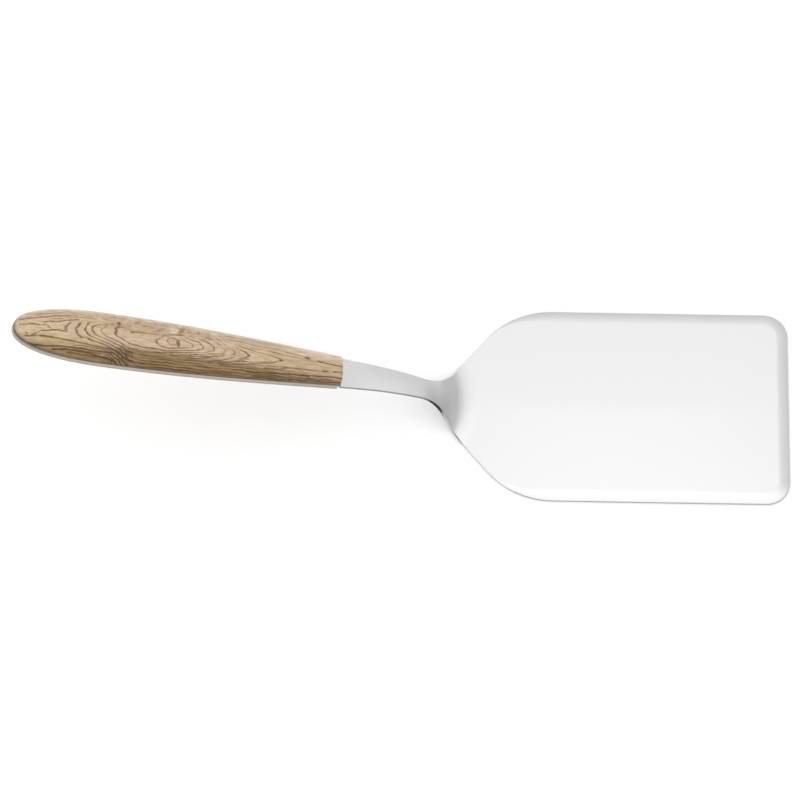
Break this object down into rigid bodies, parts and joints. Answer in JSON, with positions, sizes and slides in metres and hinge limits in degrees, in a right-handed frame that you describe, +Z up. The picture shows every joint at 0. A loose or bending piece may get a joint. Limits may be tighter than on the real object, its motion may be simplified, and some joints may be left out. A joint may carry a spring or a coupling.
{
  "type": "lasagna server",
  "caption": "Cranked steel serving spatula with a broad flat blade, thinned working edges and a raised two-part handle with a wood top.",
  "frame": {"origin": "on the blade's flat underside, at the middle of its width and of its flat length", "axes": "+X towards the blade's front edge, +Y across the blade, +Z up from the resting plane; the handle rises to the rear along -X"},
  "size_m": [0.2761, 0.0732, 0.0696],
  "materials": {
    "blade_steel": "fine satin stainless steel, nearly featureless, with polished edges",
    "handle_wood": "light tan wood with thin dark brown arched grain under a satin lacquer",
    "handle_base": "smooth pale beige moulding with a soft sheen",
    "pin_steel": "plain turned steel, hidden"
  },
  "bodies": {
    "root": {"blade_and_neck": "blade_steel", "handle_scale": "handle_wood", "handle_base": "handle_base", "tang_pin_front": "pin_steel", "tang_pin_rear": "pin_steel"}
  },
  "joints": []
}
